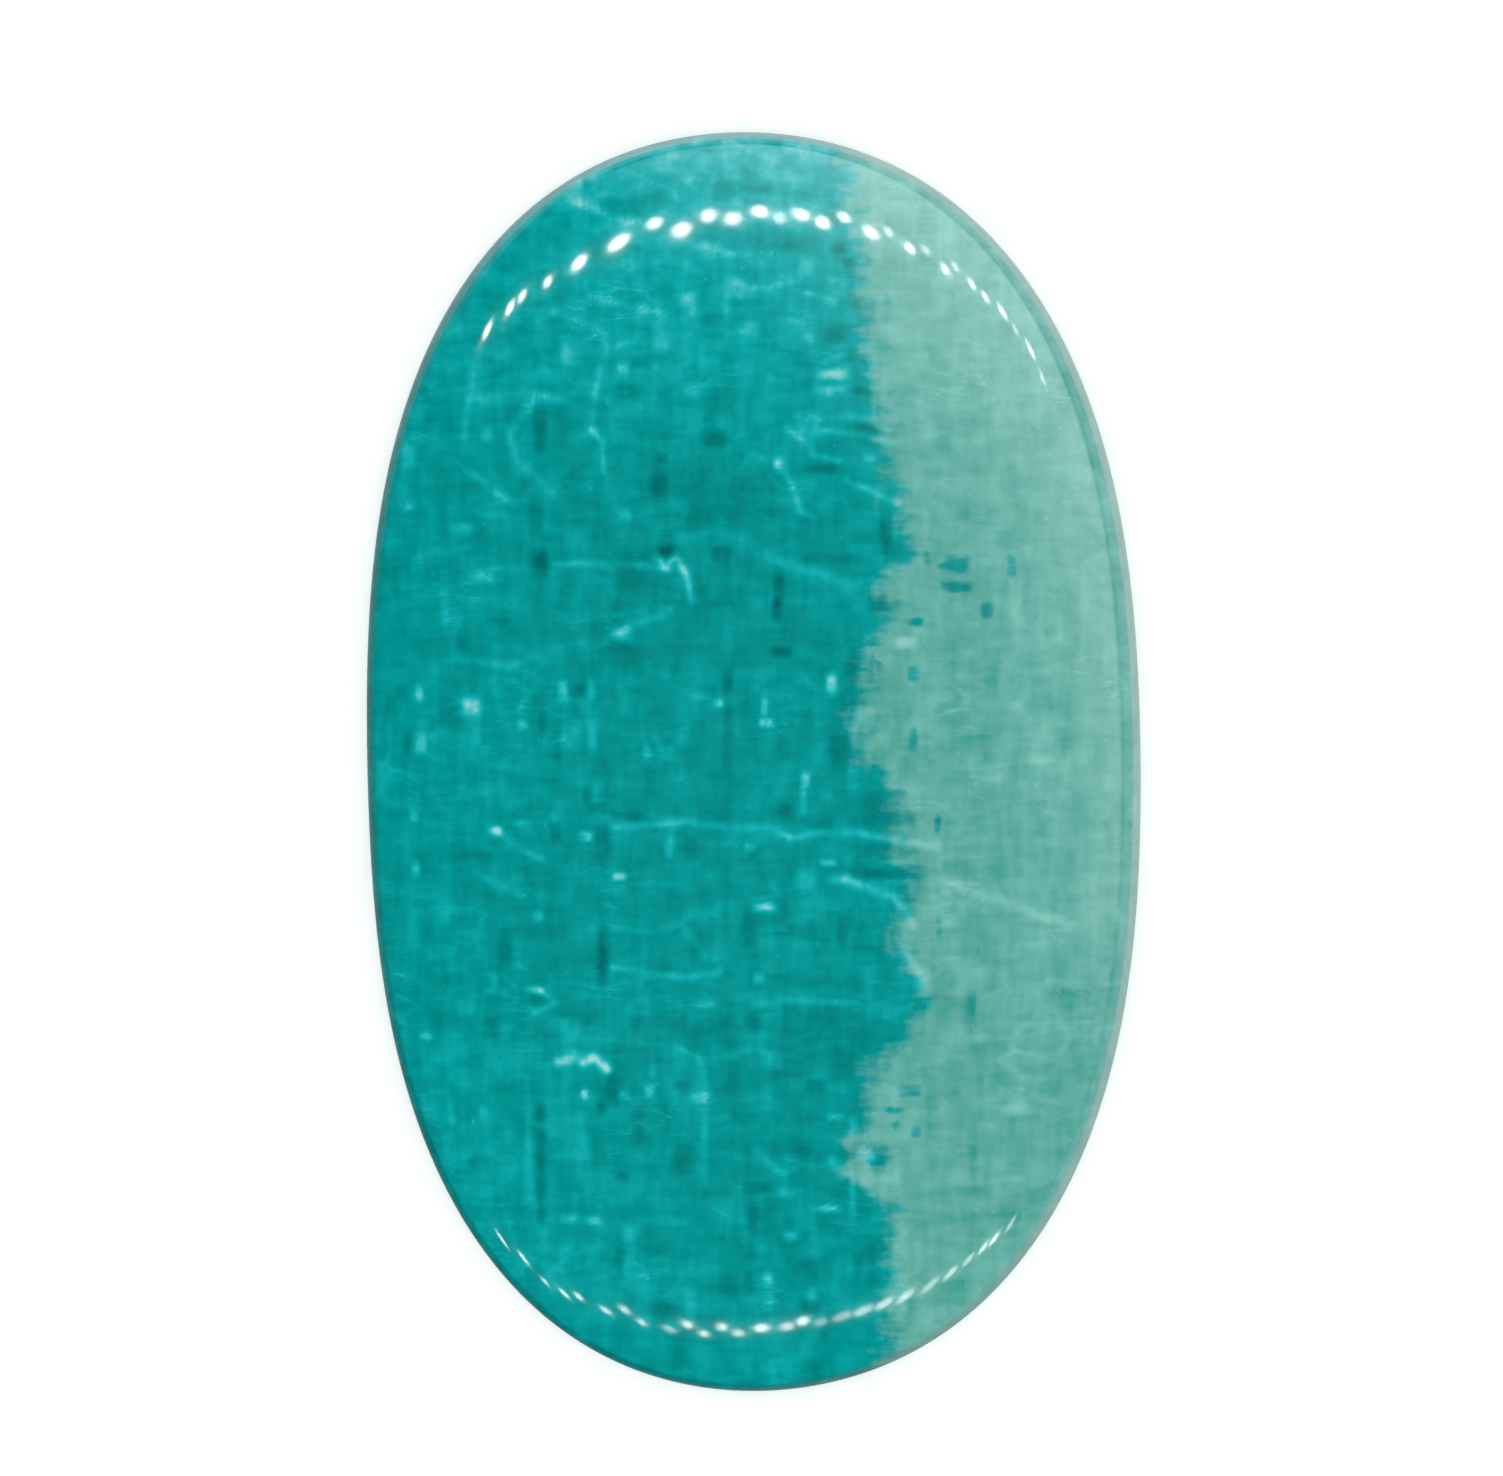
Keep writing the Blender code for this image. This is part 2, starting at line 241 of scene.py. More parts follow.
# Light lines: (half width, height in grey levels, points along the line).
LIGHT_LINES = [
    (0.12, 15, [(-5.0, 15.9), (-4.3, 15.65), (-3.4, 15.3), (-3.0, 15.2)]),
    (0.10, 13, [(-4.8, 13.6), (-4.6, 13.2), (-3.9, 13.0), (-3.1, 12.85), (-2.5, 12.7)]),
    (0.12, 14, [(-5.9, 12.9), (-4.8, 12.45), (-4.3, 12.2), (-4.2, 11.5), (-4.5, 10.4)]),
    (0.12, 12, [(-7.85, 11.8), (-7.95, 11.0), (-8.15, 10.1), (-8.2, 9.2)]),
    (0.12, 14, [(-5.3, 10.2), (-6.2, 10.45), (-6.4, 10.0), (-6.95, 9.3), (-6.7, 8.5), (-5.7, 7.6)]),
    (0.10, 18, [(-4.6, 9.4), (-4.3, 9.1), (-4.25, 8.2)]),
    (0.10, 14, [(-8.4, 8.5), (-8.1, 8.25), (-7.5, 7.8), (-7.0, 7.4)]),
    (0.10, 18, [(-5.6, 5.6), (-5.0, 5.6), (-4.0, 5.55), (-3.0, 5.55), (-2.4, 5.4)]),
    (0.13, 30, [(-2.75, 5.8), (-2.5, 5.5), (-2.2, 5.8), (-1.9, 5.3), (-1.75, 4.6)]),
    (0.20, 15, [(-1.9, 6.3), (-1.2, 6.5), (-0.7, 6.45), (-0.2, 6.1), (0.6, 5.7), (1.9, 5.3), (2.7, 5.0)]),
    (0.12, 13, [(-1.8, 14.75), (-1.2, 14.6), (-0.6, 14.4)]),
    (0.16, 10, [(-0.5, 13.5), (0.5, 13.45), (1.2, 13.6), (1.5, 14.1)]),
    (0.12, 16, [(1.5, 13.3), (1.9, 13.2), (2.3, 13.0)]),
    (0.10, 18, [(1.2, 9.8), (1.9, 9.7), (2.6, 9.8), (3.3, 9.7), (3.8, 9.4)]),
    (0.10, 18, [(0.9, 9.45), (1.6, 8.9), (1.7, 8.7), (2.4, 8.5)]),
    (0.12, 20, [(0.7, 8.4), (1.0, 8.0), (1.2, 7.5), (1.3, 7.1), (1.7, 6.9)]),
    (0.10, 17, [(2.0, 9.4), (2.7, 9.3), (3.2, 9.2), (3.9, 9.0)]),
    (0.10, 17, [(2.6, 8.0), (3.1, 7.75), (3.6, 7.5), (4.1, 7.3)]),
    (0.12, 13, [(-7.8, 2.9), (-7.0, 2.7), (-6.3, 2.9), (-5.9, 2.8)]),
    (0.12, 18, [(-4.0, 3.6), (-3.5, 3.8), (-3.0, 4.0), (-2.4, 4.3)]),
    (0.12, 14, [(-7.3, -1.95), (-6.8, -2.3), (-6.3, -2.6), (-5.9, -2.8)]),
    (0.12, 11, [(-7.8, -3.2), (-7.0, -3.6), (-6.6, -3.8)]),
    (0.11, 14, [(-3.9, -1.85), (-3.0, -1.8), (-2.0, -1.7), (-1.0, -1.8), (0.4, -1.85), (1.0, -2.1)]),
    (0.13, 20, [(1.0, -2.15), (2.0, -2.0), (3.0, -2.0), (3.6, -2.15), (4.4, -2.3), (5.2, -2.4)]),
    (0.16, 22, [(2.6, -3.3), (3.3, -3.6), (3.9, -3.8), (4.3, -4.2), (4.5, -4.6)]),
    (0.14, 18, [(5.5, -3.4), (6.5, -3.8), (7.3, -4.0), (8.1, -4.35), (9.0, -4.6)]),
    (0.12, 20, [(-4.0, -5.8), (-3.0, -5.95), (-2.0, -6.1), (-1.0, -5.95)]),
    (0.12, 14, [(-3.9, -4.7), (-2.8, -4.8), (-2.0, -4.6), (-1.6, -5.2), (-1.4, -5.5)]),
    (0.10, 15, [(0.0, -6.85), (1.0, -6.75), (2.9, -6.8)]),
    (0.10, 20, [(-6.2, -7.1), (-5.8, -6.9), (-5.6, -6.8), (-6.0, -6.5)]),
    (0.10, 14, [(-2.1, -8.1), (-1.5, -8.4), (-1.4, -9.0), (-1.4, -10.6), (-1.4, -12.0)]),
    (0.12, 14, [(-0.8, -8.3), (0.0, -8.15), (0.5, -8.3)]),
    (0.12, 18, [(0.1, -11.0), (0.5, -11.4), (0.9, -11.7)]),
    (0.16, 20, [(2.2, -11.3), (2.5, -11.6), (3.0, -11.8), (4.0, -11.8)]),
    (0.10, 10, [(-6.4, -9.0), (-6.4, -10.5), (-6.4, -12.4)]),
    (0.14, 14, [(4.2, -5.2), (4.7, -6.0), (5.0, -7.0)]),
    (0.10, 13, [(8.3, -6.2), (8.9, -6.3), (9.4, -6.35)]),
    (0.10, 9, [(9.3, 5.9), (9.6, 5.5), (9.9, 5.2)]),
]
# The scuff, as one more light line, whose white is a painted glint of light off the chip.
SCUFF_AND_GLINT = (0.16, 46, [(-5.5, -8.5), (-5.1, -8.35), (-4.8, -8.5), (-4.5, -8.35), (-4.15, -8.7)])
# Broad lighter and darker parts, partly the stone's own tone and partly painted light. The first two paint
# the light from above and the pale sheen of the gloss at the top end, and the last two paint that sheen at
# the right rim and the upper right. Each is (x, y, how wide, how high, change in grey levels).
TONES_AND_PAINTED_LIGHT = [
    (0.0, 18.5, 9.0, 3.8, 34), (-1.0, 13.0, 8.0, 4.0, 12), (-9.5, 0.0, 3.0, 9.0, 3),
    (-6.5, -13.0, 4.0, 5.0, 8), (1.0, -16.5, 6.0, 2.5, 6), (-1.0, 6.8, 2.5, 2.0, -7),
    (2.6, 0.5, 1.5, 3.0, 5), (9.5, 5.0, 2.5, 10.0, 6), (6.5, 12.5, 4.0, 4.0, 9),
]

# How strongly each kind of mark shows, as a share of its own depth or height, and then all of them.
DARK_SHARE = 0.9
SPOT_SHARE = 1.15
LINE_SHARE = 1.35
ALL_MARKS_SHARE = 1.15
# The marks start at one height on the wall and are at their full strength at the other, in millimetres.
MARKS_START = 0.5
MARKS_FULL = 2.0

# A patch is a box with round corners: its edge fades over a softness that ends at its reach, both as
# shares of its half width and half height.
PATCH_POWER = 3
PATCH_REACH = 1.45
PATCH_SOFTNESS = 0.9

# The pale boundary goes down into the stone at a slope, in millimetres across for each one down.
BOUNDARY_SLOPE = 0.12
# A teal cell counts as this far on the pale side at its edge, and by this much less in its middle.
CELL_EDGE = 0.75
CELL_DEPTH = 0.95


def patch(x, y, place):
    """How far a soft-edged box mark covers each point, from 0 to 1."""
    middle_x, middle_y, half_width, half_height = place
    across = np.abs(x - middle_x) / half_width
    along = np.abs(y - middle_y) / half_height
    away = (across**PATCH_POWER + along**PATCH_POWER) ** (1 / PATCH_POWER)
    return np.clip((PATCH_REACH - away) / PATCH_SOFTNESS, 0, 1)


def line(x, y, half_width, route):
    """How far a soft line covers each point, from 0 to 1."""
    nearest = np.full(len(x), np.inf)
    for (x0, y0), (x1, y1) in zip(route, route[1:]):
        dx, dy = x1 - x0, y1 - y0
        along = np.clip(((x - x0) * dx + (y - y0) * dy) / (dx * dx + dy * dy), 0, 1)
        nearest = np.minimum(nearest, np.hypot(x - x0 - along * dx, y - y0 - along * dy))
    return np.exp(-(nearest / half_width) ** 2)


def marks_strength(z):
    """How strongly marks show at a height, from 0 near the back to 1 at the top of the wall."""
    return np.clip((z - MARKS_START) / (MARKS_FULL - MARKS_START), 0, 1)


def marks_on(points):
    """The listed light and dark marks at each point, in grey levels."""
    x, y, z = (points / MM).T
    tone = np.zeros(len(x))
    for *place, depth in DARK_PATCHES:
        tone -= DARK_SHARE * depth * patch(x, y, place)
    for *place, height in LIGHT_SPOTS:
        tone += SPOT_SHARE * height * patch(x, y, place)
    # The last line is the scuff's painted glint.
    for half_width, height, route in LIGHT_LINES + [SCUFF_AND_GLINT]:
        tone += LINE_SHARE * height * line(x, y, half_width, route)
    # The broad tones, with the painted light and painted sheen of the top end and the right side.
    for middle_x, middle_y, wide, high, change in TONES_AND_PAINTED_LIGHT:
        tone += change * np.exp(-((x - middle_x) / wide) ** 2 - ((y - middle_y) / high) ** 2)
    return ALL_MARKS_SHARE * tone * marks_strength(z)


def pale_side(points):
    """How far each point lies on the pale side of the colour boundary, in millimetres."""
    x, y, z = (points / MM).T
    edge_y, edge_x = np.array(PALE_EDGE[::-1]).T
    away = x - np.interp(y, edge_y, edge_x) - BOUNDARY_SLOPE * (height_on_dome(0) / MM - z)
    for cell in TEAL_CELLS:
        inside = patch(x, y, cell) * marks_strength(z)
        away = np.where(inside > 0, np.minimum(away, CELL_EDGE - CELL_DEPTH * inside), away)
    return away


# The slight waves that hand polishing leaves: (length in millimetres, height in micrometres).
WAVES = [(9.0, 3.0), (4.0, 1.6), (2.2, 0.7)]
WAVES_EACH = 7  # waves of each length, in different directions
WAVE_SEED = 7
# The dome lies this much lower, so that its waves stay within the stone's height.
WAVE_ROOM = 3 * MICROMETRE
# The waves and the chip set in over this height above the wall.
DOME_START = 0.5 * MM
CHIP_DEPTH = 0.03 * MM
CHIP_HALF_WIDTH = 0.2
# The back is ground and not polished, and its finish fades out over this height.
GROUND_HEIGHT = 0.3 * MM


def waviness(points):
    """Height of the slight unevenness that hand polishing leaves, in metres."""
    random = np.random.default_rng(WAVE_SEED)
    height = np.zeros(len(points))
    for wave_mm, micrometres in WAVES:
        for _ in range(WAVES_EACH):
            turn = random.uniform(0, 2 * pi)
            phase = random.uniform(0, 2 * pi)
            across = points[:, 0] * cos(turn) + points[:, 1] * sin(turn)
            wave = np.sin(2 * pi * across / (wave_mm * MM) + phase)
            height += micrometres * MICROMETRE * wave / WAVES_EACH**0.5
    return height


def add_attribute(data, name, values):
    """Give each point of the mesh a number that the material reads by name."""
    data.attributes.new(name, "FLOAT", "POINT").data.foreach_set("value", values.astype(np.float32))


def make_stone():
    """The stone, with its marks and finish kept as numbers on its points."""
    points, faces = build_mesh()
    on_dome = np.clip((points[:, 2] - WALL_TOP) / DOME_START, 0, 1)
    chip_route = SCUFF_AND_GLINT[2]
    chip = CHIP_DEPTH * line(points[:, 0] / MM, points[:, 1] / MM, CHIP_HALF_WIDTH, chip_route) * on_dome
    shaped = points.copy()
    shaped[:, 2] += waviness(points) * on_dome - chip - WAVE_ROOM * on_dome
    data = bpy.data.meshes.new("polished_stone")
    data.from_pydata(shaped.tolist(), [], faces)
    data.shade_smooth()
    add_attribute(data, "marks", marks_on(points))
    add_attribute(data, "pale_side", pale_side(points))
    add_attribute(data, "ground", np.clip(1 - points[:, 2] / GROUND_HEIGHT, 0, 1))
    stone = bpy.data.objects.new("polished_stone", data)
    bpy.context.scene.collection.objects.link(stone)
    return stone


class Value:
    """A number socket in a node tree: arithmetic on it adds the matching math node."""

    def __init__(self, tree, socket):
        self.tree = tree
        self.socket = socket

    def math(self, operation, *others):
        """The result of a math node on this value and the others."""
        node = self.tree.nodes.new("ShaderNodeMath")
        node.operation = operation
        for place, item in enumerate((self, *others)):
            if isinstance(item, Value):
                self.tree.links.new(item.socket, node.inputs[place])
            else:
                node.inputs[place].default_value = item
        return Value(self.tree, node.outputs[0])

    def __add__(self, other):
        return self.math("ADD", other)

    def __sub__(self, other):
        return self.math("SUBTRACT", other)

    def __mul__(self, other):
        return self.math("MULTIPLY", other)

    def between(self, low, high):
        """0 at low and 1 at high, with smooth ends."""
        node = self.tree.nodes.new("ShaderNodeMapRange")
        node.interpolation_type = "SMOOTHSTEP"
        self.tree.links.new(self.socket, node.inputs["Value"])
        node.inputs["From Min"].default_value = low
        node.inputs["From Max"].default_value = high
        return Value(self.tree, node.outputs["Result"])


WHITE_LEVEL = 255


def linear(level):
    """A display level as linear light, by the standard curve of an RGB screen."""
    part = level / WHITE_LEVEL
    return part / 12.92 if part <= 0.04045 else ((part + 0.055) / 1.055) ** 2.4


# Blender's textures lie about their middle, and the spread brings noise to about -1 to 1.
TEXTURE_MIDDLE = 0.5
NOISE_SPREAD = 3.5
# How far a pattern's shift moves it along x, y and z, as shares of the shift.
SHIFT_SHARES = (1.0, 1.7, 2.3)


class StonePattern:
    """Textures in the stone's own millimetres."""

    def __init__(self, tree):
        self.tree = tree
        self.place = tree.nodes.new("ShaderNodeTexCoord").outputs["Object"]

    def stretched(self, sizes, shift):
        """The stone's coordinates with each axis divided by its own size in millimetres."""
        node = self.tree.nodes.new("ShaderNodeMapping")
        node.inputs["Scale"].default_value = [1 / (size * MM) for size in sizes]
        node.inputs["Location"].default_value = [share * shift for share in SHIFT_SHARES]
        self.tree.links.new(self.place, node.inputs["Vector"])
        return node.outputs["Vector"]

    def noise(self, sizes, shift, detail=2.0, bend=0.0):
        """Soft noise from about -1 to 1."""
        node = self.tree.nodes.new("ShaderNodeTexNoise")
        node.inputs["Scale"].default_value = 1.0
        node.inputs["Detail"].default_value = detail
        node.inputs["Distortion"].default_value = bend
        self.tree.links.new(self.stretched(sizes, shift), node.inputs["Vector"])
        return (Value(self.tree, node.outputs["Fac"]) - TEXTURE_MIDDLE) * NOISE_SPREAD

    def tone(self, strength, sizes, shift, detail=2.0, bend=0.0):
        """Soft noise from about -strength to strength."""
        return self.noise(sizes, shift, detail, bend) * strength

    def cells(self, sizes, shift, feature, output):
        """Cells of stone: square-cornered ones for F1, and otherwise the distance to their edges."""
        node = self.tree.nodes.new("ShaderNodeTexVoronoi")
        node.feature = feature
        node.inputs["Scale"].default_value = 1.0
        if feature == "F1":
            node.distance = "CHEBYCHEV"
        self.tree.links.new(self.stretched(sizes, shift), node.inputs["Vector"])
        return Value(self.tree, node.outputs[output])

    def attribute(self, name):
        """A number that the mesh has at each point."""
        node = self.tree.nodes.new("ShaderNodeAttribute")
        node.attribute_name = name
        return Value(self.tree, node.outputs["Fac"])

    def ramp(self, tone, colours):
        """The colour for a tone in grey levels, where each given colour stands at its own green."""
        node = self.tree.nodes.new("ShaderNodeValToRGB")
        self.tree.links.new((tone * (1 / WHITE_LEVEL)).socket, node.inputs["Fac"])
        elements = node.color_ramp.elements
        while len(elements) < len(colours):
            elements.new(1.0)
        for element, (red, green, blue) in zip(elements, colours):
            element.position = green / WHITE_LEVEL
            element.color = [linear(red), linear(green), linear(blue), 1.0]
        return node.outputs["Color"]


# The stone's colours from dark to light, as red, green and blue display levels.
TEAL_COLOURS = [(0, 95, 96), (0, 134, 131), (1, 150, 148), (9, 166, 167), (20, 174, 176), (60, 190, 192),
                (150, 215, 212)]
PALE_COLOURS = [(4, 130, 122), (26, 146, 134), (50, 154, 142), (92, 170, 159), (134, 202, 192)]
# The mean tone of each part, in grey levels, and the share of the texture and the marks that it shows.
TEAL_LEVEL = 146
PALE_LEVEL = 171
TEAL_TEXTURE = 0.85
PALE_TEXTURE = 0.62
PALE_MARKS = 0.7
# The marks show patchily, from this share of their strength to this much more.
MARKS_LEAST = 0.5
MARKS_VARIATION = 0.7
# How much lighter, or darker if below zero, each pattern makes the stone at its strongest, in grey levels.
BLOCK_TONE = 12.0
WEB_TONE = 15.0
WISP_TONE = 18.0
SPECK_TONE = 24.0
DARK_SPECK_TONE = -16.0
# The pale side sets in from one distance from the boundary to the other, in millimetres.
PALE_STARTS = -0.40
PALE_FULL = 0.50

POLISH_ROUGHNESS = 0.07
POLISH_VARIATION = 0.012
GROUND_ROUGHNESS = 0.36  # what the ground back has on top of the polish
STONE_IOR = 1.53


def stone_texture(pattern):
    """Lighter and darker places all over the stone, in grey levels."""
    upright = (pattern.tone(strength=9.5, sizes=(0.40, 1.7, 2.0), shift=3.1, detail=1.0)
               + pattern.tone(strength=3.4, sizes=(0.18, 0.7, 1.2), shift=8.4, detail=0.0))
    level = (pattern.tone(strength=9.0, sizes=(1.3, 0.42, 2.0), shift=5.7, detail=1.0, bend=0.4)
             + pattern.tone(strength=3.0, sizes=(0.6, 0.18, 1.2), shift=1.9, detail=0.0))
    blocks = pattern.cells(sizes=(0.9, 0.7, 2.0), shift=6.3, feature="F1", output="Color")
    blocks = (blocks - TEXTURE_MIDDLE) * BLOCK_TONE
    clouds = pattern.tone(strength=12.0, sizes=(0.8, 0.7, 2.0), shift=9.2, detail=3.0, bend=0.5)
    web = pattern.cells(sizes=(1.2, 0.75, 1.8), shift=2.6, feature="DISTANCE_TO_EDGE", output="Distance")
    web_here = pattern.noise(sizes=(2.5, 2.0, 2.5), shift=4.4).between(0.0, 0.9)
    web = web.between(0.15, 0.0) * web_here * WEB_TONE
    wisps = pattern.noise(sizes=(2.6, 0.5, 2.0), shift=7.7, detail=3.0, bend=0.6).math("ABSOLUTE")
    wisps_here = pattern.noise(sizes=(2.0, 2.0, 2.0), shift=0.6).between(0.0, 0.7)
    wisps = wisps.between(0.07, 0.0) * wisps_here * WISP_TONE
    specks = pattern.noise(sizes=(0.22, 0.26, 0.3), shift=5.2, detail=1.0).between(0.75, 1.3) * SPECK_TONE
    # Small dark specks in the colour; the surface has no pits.
    dark_specks = pattern.noise(sizes=(0.24, 0.5, 0.5), shift=1.3, detail=1.0).between(0.75, 1.3) * DARK_SPECK_TONE
    return upright + level + blocks + clouds + web + wisps + specks + dark_specks


def pale_share(pattern):
    """0 in the teal part and 1 in the pale part, with a saw-toothed boundary."""
    teeth = (pattern.tone(strength=0.45, sizes=(1.1, 0.3, 1.0), shift=2.2)
             + pattern.tone(strength=0.40, sizes=(0.5, 0.8, 1.0), shift=8.8))
    return (pattern.attribute("pale_side") + teeth).between(PALE_STARTS, PALE_FULL)


def stone_colour(pattern):
    """The stone's colour, mixed from its teal and its pale part."""
    patches = pattern.noise(sizes=(0.5, 0.5, 0.8), shift=7.1).between(-1.1, 0.9)
    # The marks hold painted glints, and the painted light and painted sheen of the top end and the right
    # side.
    marks = pattern.attribute("marks") * (patches * MARKS_VARIATION + MARKS_LEAST)
    texture = stone_texture(pattern)
    pale_clouds = pattern.tone(strength=3.0, sizes=(3.0, 2.2, 3.0), shift=3.9)
    teal_tone = texture * TEAL_TEXTURE + marks + TEAL_LEVEL
    pale_tone = texture * PALE_TEXTURE + marks * PALE_MARKS + PALE_LEVEL + pale_clouds
    mix = pattern.tree.nodes.new("ShaderNodeMix")
    mix.data_type = "RGBA"
    pattern.tree.links.new(pale_share(pattern).socket, mix.inputs["Factor"])
    pattern.tree.links.new(pattern.ramp(teal_tone, TEAL_COLOURS), mix.inputs["A"])
    pattern.tree.links.new(pattern.ramp(pale_tone, PALE_COLOURS), mix.inputs["B"])
    return mix.outputs["Result"]


def stone_roughness(pattern):
    """A polish that varies a little, with a ground finish on the back."""
    polish = pattern.tone(strength=POLISH_VARIATION, sizes=(1.0, 1.0, 1.0), shift=6.6) + POLISH_ROUGHNESS
    return polish + pattern.attribute("ground") * GROUND_ROUGHNESS


def stone_material():
    """Polished amazonite."""
    material = bpy.data.materials.new("amazonite")
    material.use_nodes = True
    tree = material.node_tree
    shader = tree.nodes["Principled BSDF"]
    pattern = StonePattern(tree)
    tree.links.new(stone_colour(pattern), shader.inputs["Base Color"])
    tree.links.new(stone_roughness(pattern).socket, shader.inputs["Roughness"])
    shader.inputs["IOR"].default_value = STONE_IOR
    return material


# The camera looks straight down the stone's short axis with a long lens.
LENS_MM = 300.0
SENSOR_MM = 36.0
CLIP_START = 5 * MM


def add_camera():
    """The camera, at the photograph's framing at the height where the stone is widest."""
    data = bpy.data.cameras.new("camera")
    data.lens = LENS_MM
    data.sensor_width = SENSOR_MM
    data.clip_start = CLIP_START
    frame_width = FRAME_WIDTH_PX * MM_PER_PX * MM
    distance = frame_width * LENS_MM / SENSOR_MM
    camera = bpy.data.objects.new("camera", data)
    across = (FRAME_WIDTH_PX / 2 - STONE_MIDDLE_PX[0]) * MM_PER_PX * MM
    along = (STONE_MIDDLE_PX[1] - FRAME_HEIGHT_PX / 2) * MM_PER_PX * MM
    camera.location = (across, along, BACK_BEVEL + distance)
    bpy.context.scene.collection.objects.link(camera)
    bpy.context.scene.camera = camera


# Where the two rows of lamps show on the dome: (x, y, length along the row, brightness), with the first
# three in millimetres and the brightness as a share of the lamps' glow.
BACK_LAMPS = [
    (-7.6, 12.2, 0.5, 1.0), (-7.0, 12.75, 0.45, 1.0), (-6.55, 13.2, 0.4, 0.8), (-5.8, 13.6, 0.35, 0.8),
    (-4.9, 14.15, 0.6, 1.0), (-3.8, 14.7, 0.8, 1.0), (-2.75, 15.25, 0.5, 0.8), (-2.0, 15.08, 0.55, 0.9),
    (-1.25, 15.45, 0.35, 1.0), (-0.6, 15.35, 0.4, 0.8), (0.15, 15.55, 0.4, 1.2),
    (0.72, 15.38, 0.35, 0.5), (1.37, 15.5, 0.4, 1.2), (2.0, 15.28, 0.4, 1.1), (2.62, 15.42, 0.4, 0.9),
    (3.42, 14.97, 0.45, 1.1), (3.9, 15.02, 0.3, 0.5), (4.45, 14.57, 0.4, 1.0), (4.95, 14.45, 0.35, 0.4),
    (5.5, 13.98, 0.35, 0.7), (5.85, 13.95, 0.3, 0.4), (6.3, 13.5, 0.35, 0.7), (6.6, 13.25, 0.35, 0.7),
    (7.12, 12.75, 0.45, 1.0), (7.5, 12.3, 0.3, 0.3), (7.95, 11.65, 0.5, 0.8), (8.2, 11.0, 0.4, 0.3),
]
FRONT_LAMPS = [
    (-7.1, -13.65, 0.7, 0.5), (-6.55, -14.15, 0.6, 0.5), (-5.95, -14.75, 0.35, 0.5),
    (-5.45, -15.08, 0.5, 0.5), (-5.0, -15.2, 0.4, 0.5), (-4.15, -15.65, 0.5, 0.4),
    (-3.65, -15.6, 0.4, 0.4), (-3.2, -15.95, 0.3, 0.4), (-2.4, -16.12, 0.6, 0.2),
    (-1.85, -15.98, 0.35, 0.6), (-1.35, -16.25, 0.3, 0.5), (-0.82, -16.05, 0.28, 0.6),
    (-0.35, -16.22, 0.35, 0.4), (0.25, -16.08, 0.35, 0.6), (0.9, -16.05, 0.4, 0.4),
    (1.35, -15.9, 0.4, 0.6), (1.95, -15.9, 0.4, 0.2), (2.6, -15.72, 0.7, 0.2), (3.2, -15.55, 0.7, 0.3),
    (3.8, -15.35, 0.7, 0.35), (4.4, -15.15, 0.7, 0.3), (5.0, -14.92, 0.7, 0.25), (5.6, -14.6, 0.7, 0.3),
    (6.15, -14.2, 0.7, 0.25), (6.6, -13.85, 0.6, 0.4), (6.95, -13.55, 0.5, 0.6),
    (7.35, -13.15, 0.6, 0.25),
]
LAMP_DISTANCE = 140 * MM
LAMP_GLOW = 38.0
LAMP_DEPTH = 6.0 * MM
LAMP_SPREAD = 10.0  # how much longer a lamp is than its reflection
RIM_POINTS = 3600  # places round the dome's foot
LAST_SHARE = 0.999  # just short of the dome's foot, where it is upright
SLOPE_STEP = 0.25  # in millimetres


def dome_height(x, y):
    """Height of the dome over a place on the stone, in millimetres."""
    rim = outline(np.linspace(0, 2 * pi, RIM_POINTS)) / MM
    rim *= 1 - WALL_LEAN / MM / np.hypot(rim[:, 0], rim[:, 1])[:, None]
    turn_away = np.arctan2(rim[:, 1], rim[:, 0]) - np.arctan2(y, x)
    nearest = np.argmin(np.abs(np.angle(np.exp(1j * turn_away))))
    share = min(np.hypot(x, y) / np.hypot(*rim[nearest]), LAST_SHARE)
    return height_on_dome(share) / MM


def lamp_place(x, y, eye):
    """The place of a lamp whose reflection shows at x, y on the dome, all in metres except x and y."""
    step = SLOPE_STEP
    slope_x = (dome_height(x + step, y) - dome_height(x - step, y)) / (2 * step)
    slope_y = (dome_height(x, y + step) - dome_height(x, y - step)) / (2 * step)
    normal = Vector((-slope_x, -slope_y, 1)).normalized()
    spot = Vector((x, y, dome_height(x, y))) * MM
    sight = (spot - eye).normalized()
    away = sight - 2 * sight.dot(normal) * normal
    return spot + away * LAMP_DISTANCE


def add_lamp(name, spot, length, glow, eye):
    """One small oval lamp that shows only in the stone's gloss."""
    place = lamp_place(*spot, eye)
    data = bpy.data.lights.new(name, "AREA")
    data.shape = "ELLIPSE"
    data.size = length * LAMP_SPREAD * MM
    data.size_y = LAMP_DEPTH
    area = pi * data.size * data.size_y / 4
    data.energy = glow * pi * area
    lamp = bpy.data.objects.new(name, data)
    lamp.location = place
    lamp.rotation_euler = place.to_track_quat("Z", "Y").to_euler()
    lamp.visible_camera = False
    lamp.visible_diffuse = False
    bpy.context.scene.collection.objects.link(lamp)


def add_lamps():
    """The two rows of lamps, behind the stone and in front of it."""
    eye = bpy.context.scene.camera.location
    for name, lamps in (("back_lamp", BACK_LAMPS), ("front_lamp", FRONT_LAMPS)):
        for number, (x, y, length, brightness) in enumerate(lamps):
            add_lamp(f"{name}_{number}", (x, y), length, LAMP_GLOW * brightness, eye)


# The room's white light, all round, and what comes on top of it from straight above.
ROOM_LIGHT = 0.60
ROOM_LIGHT_ABOVE = 1.32
ROOM_POWER = 4.0
# In the gloss, a soft card stands to the upper right, and the table below glows a little on that side.
CARD_DIRECTION = (0.68, 0.73, 0.0)
CARD_GLOW = 2.6
CARD_EDGES = (0.25, 1.0)
TABLE_GLOW = 0.65
TABLE_EDGES = (-0.40, 0.35)
HORIZON = 0.15


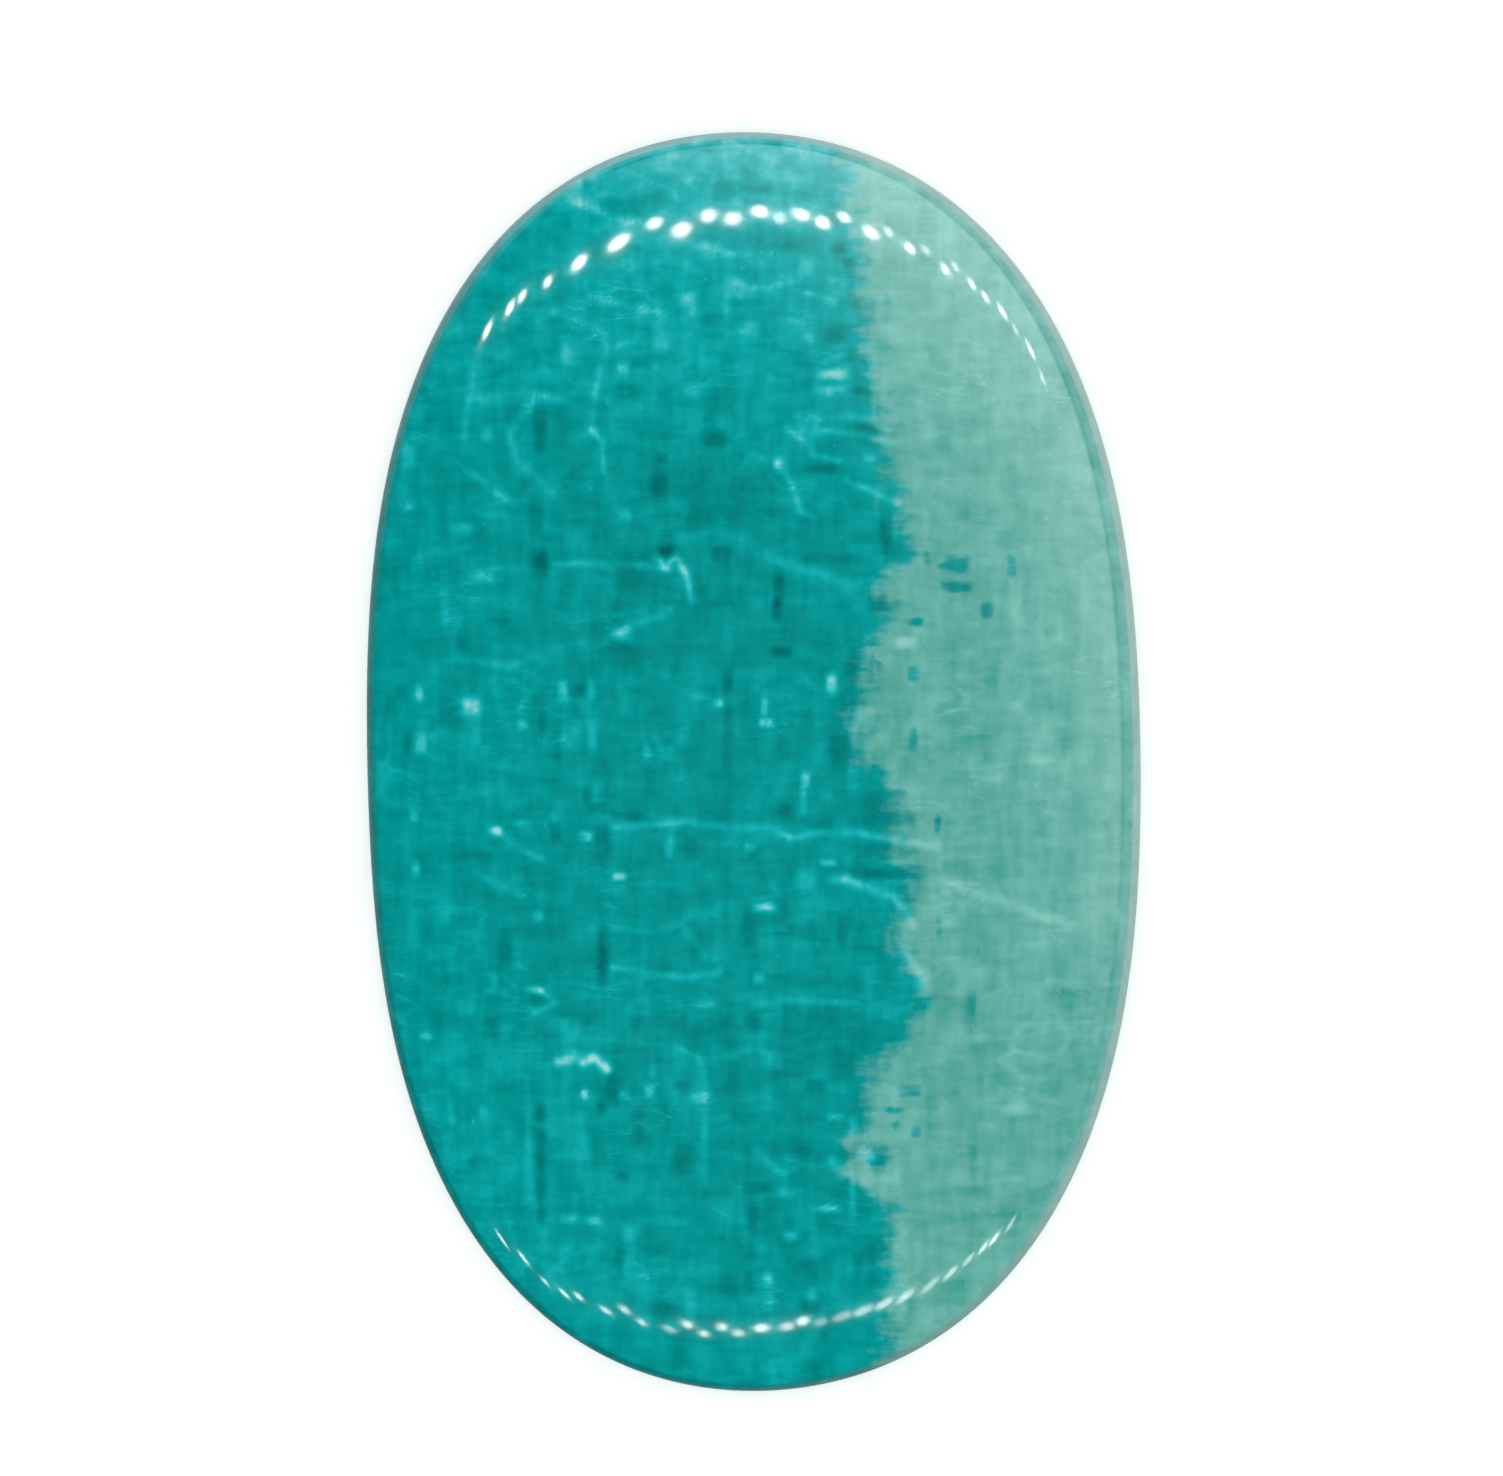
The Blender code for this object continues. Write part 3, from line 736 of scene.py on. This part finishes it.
def add_world():
    """White light, strongest from above, and in the gloss only a soft card and the table's glow."""
    world = bpy.data.worlds.new("studio")
    world.use_nodes = True
    tree = world.node_tree
    background = tree.nodes["Background"]
    direction = tree.nodes.new("ShaderNodeTexCoord").outputs["Generated"]
    towards = tree.nodes.new("ShaderNodeVectorMath")
    towards.operation = "DOT_PRODUCT"
    towards.inputs[1].default_value = CARD_DIRECTION
    tree.links.new(direction, towards.inputs[0])
    sideways = Value(tree, towards.outputs["Value"])
    height = tree.nodes.new("ShaderNodeSeparateXYZ")
    tree.links.new(direction, height.inputs[0])
    upward = Value(tree, height.outputs["Z"])
    above = upward.math("MAXIMUM", 0.0)
    card = sideways.between(*CARD_EDGES) * CARD_GLOW
    table = sideways.between(*TABLE_EDGES) * TABLE_GLOW
    gloss = card * above.between(0.0, HORIZON) + table * upward.between(0.0, -HORIZON)
    room = above.math("POWER", ROOM_POWER) * ROOM_LIGHT_ABOVE + ROOM_LIGHT
    in_gloss = Value(tree, tree.nodes.new("ShaderNodeLightPath").outputs["Is Glossy Ray"])
    strength = room + in_gloss * (gloss - room)
    tree.links.new(strength.socket, background.inputs["Strength"])
    background.inputs["Color"].default_value = (1, 1, 1, 1)
    bpy.context.scene.world = world


FLOOR_HALF = 1.0
FLOOR_HEIGHT = -0.02 * MM  # a little below the stone, so that floor and back aren't in one plane
FLOOR_WHITE = 0.9
FLOOR_GLOW = 0.30


def see_through_from_below(tree, shader):
    """Let the stone's back be seen through the underside of the floor."""
    below = tree.nodes.new("ShaderNodeNewGeometry").outputs["Backfacing"]
    clear = tree.nodes.new("ShaderNodeBsdfTransparent")
    either = tree.nodes.new("ShaderNodeMixShader")
    tree.links.new(below, either.inputs[0])
    tree.links.new(shader.outputs["BSDF"], either.inputs[1])
    tree.links.new(clear.outputs["BSDF"], either.inputs[2])
    tree.links.new(either.outputs["Shader"], tree.nodes["Material Output"].inputs["Surface"])


def floor_material():
    """Matt white that glows a little, as a lit table does."""
    material = bpy.data.materials.new("floor_white")
    material.use_nodes = True
    shader = material.node_tree.nodes["Principled BSDF"]
    shader.inputs["Base Color"].default_value = (FLOOR_WHITE, FLOOR_WHITE, FLOOR_WHITE, 1.0)
    shader.inputs["Roughness"].default_value = 1.0
    shader.inputs["Specular IOR Level"].default_value = 0.0
    shader.inputs["Emission Color"].default_value = (1.0, 1.0, 1.0, 1.0)
    shader.inputs["Emission Strength"].default_value = FLOOR_GLOW
    see_through_from_below(material.node_tree, shader)
    return material


def add_floor():
    """The plain white surface that the stone lies on, which the stone doesn't mirror."""
    data = bpy.data.meshes.new("floor")
    sides = ((-1, -1), (1, -1), (1, 1), (-1, 1))
    corners = [(x * FLOOR_HALF, y * FLOOR_HALF, FLOOR_HEIGHT) for x, y in sides]
    data.from_pydata(corners, [], [(0, 1, 2, 3)])
    data.materials.append(floor_material())
    floor = bpy.data.objects.new("floor", data)
    bpy.context.scene.collection.objects.link(floor)
    floor.visible_glossy = False


stone = make_stone()
stone.data.materials.append(stone_material())
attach(stone, "root")
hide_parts(NODE)
add_camera()
add_lamps()
add_world()
add_floor()
bpy.context.scene.view_settings.view_transform = "Standard"
